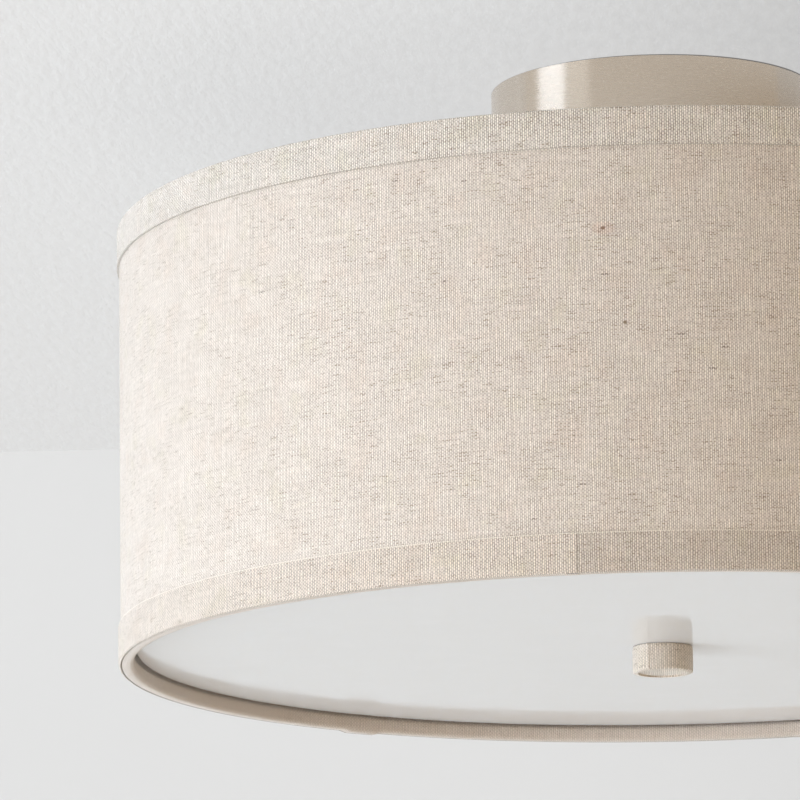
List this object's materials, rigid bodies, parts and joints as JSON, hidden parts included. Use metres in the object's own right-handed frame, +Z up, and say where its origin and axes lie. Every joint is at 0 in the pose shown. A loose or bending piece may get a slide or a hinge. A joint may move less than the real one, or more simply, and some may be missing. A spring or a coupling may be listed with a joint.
{
  "type": "flush mount ceiling light",
  "caption": "Semi-flush drum ceiling light: linen shade on a spider, white diffuser held by a cloth-covered finial, round metal canopy.",
  "frame": {"origin": "centre of the ceiling strap's upper face, in the ceiling plane, on the lamp pipe's axis", "axes": "+Z up into the ceiling along the lamp pipe, +X along the ceiling strap, -Y the side that the picture shows"},
  "size_m": [0.4064, 0.4064, 0.2246],
  "materials": {
    "brushed_nickel": "spun and brushed, satin",
    "linen": "undyed slubbed linen",
    "styrene": "white sheet, satin",
    "acrylic": "opal white, polished",
    "white_steel": "white powder coat",
    "zinc_steel": "bright zinc plate",
    "green_steel": "green passivated",
    "brass": "plain",
    "phenolic": "black moulding",
    "porcelain": "glazed white porcelain",
    "base_metal": "nickel-plated, rolled",
    "solder": "dull solder",
    "bulb_plastic": "white moulding",
    "opal": "opal white",
    "nylon": "natural nylon",
    "turned_aluminium": "turned",
    "black_insulation": "wire insulation",
    "white_insulation": "wire insulation",
    "green_insulation": "wire insulation",
    "connector_plastic": "orange moulding"
  },
  "bodies": {
    "root": {"crossbar": "zinc_steel", "canopy_screws": "zinc_steel", "ground_screw": "green_steel", "canopy": "brushed_nickel", "cap_nuts": "brushed_nickel", "canopy_washer": "zinc_steel", "ground_terminal": "brass", "pipe_nuts": "zinc_steel", "lamp_pipe": "zinc_steel", "neck_tube": "brushed_nickel", "shade_spider": "white_steel", "shade_bottom_ring": "white_steel", "shade_liner": "styrene", "shade_linen": "linen", "top_trim": "linen", "bottom_trim": "linen", "cluster_cup": "white_steel", "cluster_cover": "white_steel", "cover_screws": "zinc_steel", "terminal_block": "porcelain", "socket_arms": "zinc_steel", "arm_nuts": "zinc_steel", "diffuser_rod": "zinc_steel", "rod_nuts": "zinc_steel", "stop_washer": "nylon", "hot_lead": "black_insulation", "neutral_lead": "white_insulation", "ground_lead": "green_insulation", "wire_connectors": "connector_plastic", "socket_leads": "white_insulation", "socket_body_1": "phenolic", "screw_shell_1": "brass", "centre_contact_1": "brass", "socket_body_2": "phenolic", "screw_shell_2": "brass", "centre_contact_2": "brass", "socket_body_3": "phenolic", "screw_shell_3": "brass", "centre_contact_3": "brass"},
    "diffuser": {"diffuser": "acrylic"},
    "finial_seat": {"finial_washer": "nylon"},
    "finial": {"finial_core": "turned_aluminium", "finial_insert": "brass", "finial_wrap": "linen", "finial_disc": "linen"},
    "bulb_seat_1": {"bulb_tip_1": "solder"},
    "bulb_1": {"bulb_base_1": "base_metal", "bulb_housing_1": "bulb_plastic", "bulb_globe_1": "opal"},
    "bulb_seat_2": {"bulb_tip_2": "solder"},
    "bulb_2": {"bulb_base_2": "base_metal", "bulb_housing_2": "bulb_plastic", "bulb_globe_2": "opal"},
    "bulb_seat_3": {"bulb_tip_3": "solder"},
    "bulb_3": {"bulb_base_3": "base_metal", "bulb_housing_3": "bulb_plastic", "bulb_globe_3": "opal"}
  },
  "joints": [
    {"name": "diffuser_drop", "type": "slide", "parent": "root", "child": "diffuser", "axis": [0, 0, -1], "range_m": [0, 0.06]},
    {"name": "finial_travel", "type": "slide", "parent": "diffuser", "child": "finial_seat", "axis": [0, 0, -1], "range_m": [0, 0.00613]},
    {"name": "finial_turn", "type": "hinge", "parent": "finial_seat", "child": "finial", "pos_m": [0, 0, -0.2175], "axis": [0, 0, -1], "range_deg": [0, 2340]},
    {"name": "bulb_travel_1", "type": "slide", "parent": "root", "child": "bulb_seat_1", "axis": [0, 1, 0], "range_m": [0, 0.02541]},
    {"name": "bulb_turn_1", "type": "hinge", "parent": "bulb_seat_1", "child": "bulb_1", "pos_m": [0, 0.045, -0.125], "axis": [0, 1, 0], "range_deg": [0, 2520]},
    {"name": "bulb_travel_2", "type": "slide", "parent": "root", "child": "bulb_seat_2", "axis": [-0.866, -0.5, 0], "range_m": [0, 0.02541]},
    {"name": "bulb_turn_2", "type": "hinge", "parent": "bulb_seat_2", "child": "bulb_2", "pos_m": [-0.03897, -0.0225, -0.125], "axis": [-0.866, -0.5, 0], "range_deg": [0, 2520]},
    {"name": "bulb_travel_3", "type": "slide", "parent": "root", "child": "bulb_seat_3", "axis": [0.866, -0.5, 0], "range_m": [0, 0.02541]},
    {"name": "bulb_turn_3", "type": "hinge", "parent": "bulb_seat_3", "child": "bulb_3", "pos_m": [0.03897, -0.0225, -0.125], "axis": [0.866, -0.5, 0], "range_deg": [0, 2520]}
  ],
  "couplings": [
    {"joint": "finial_travel", "follows": "finial_turn", "m_per_rad": 0.00014972},
    {"joint": "bulb_travel_1", "follows": "bulb_turn_1", "m_per_rad": 0.00057751},
    {"joint": "bulb_travel_2", "follows": "bulb_turn_2", "m_per_rad": 0.00057751},
    {"joint": "bulb_travel_3", "follows": "bulb_turn_3", "m_per_rad": 0.00057751}
  ]
}
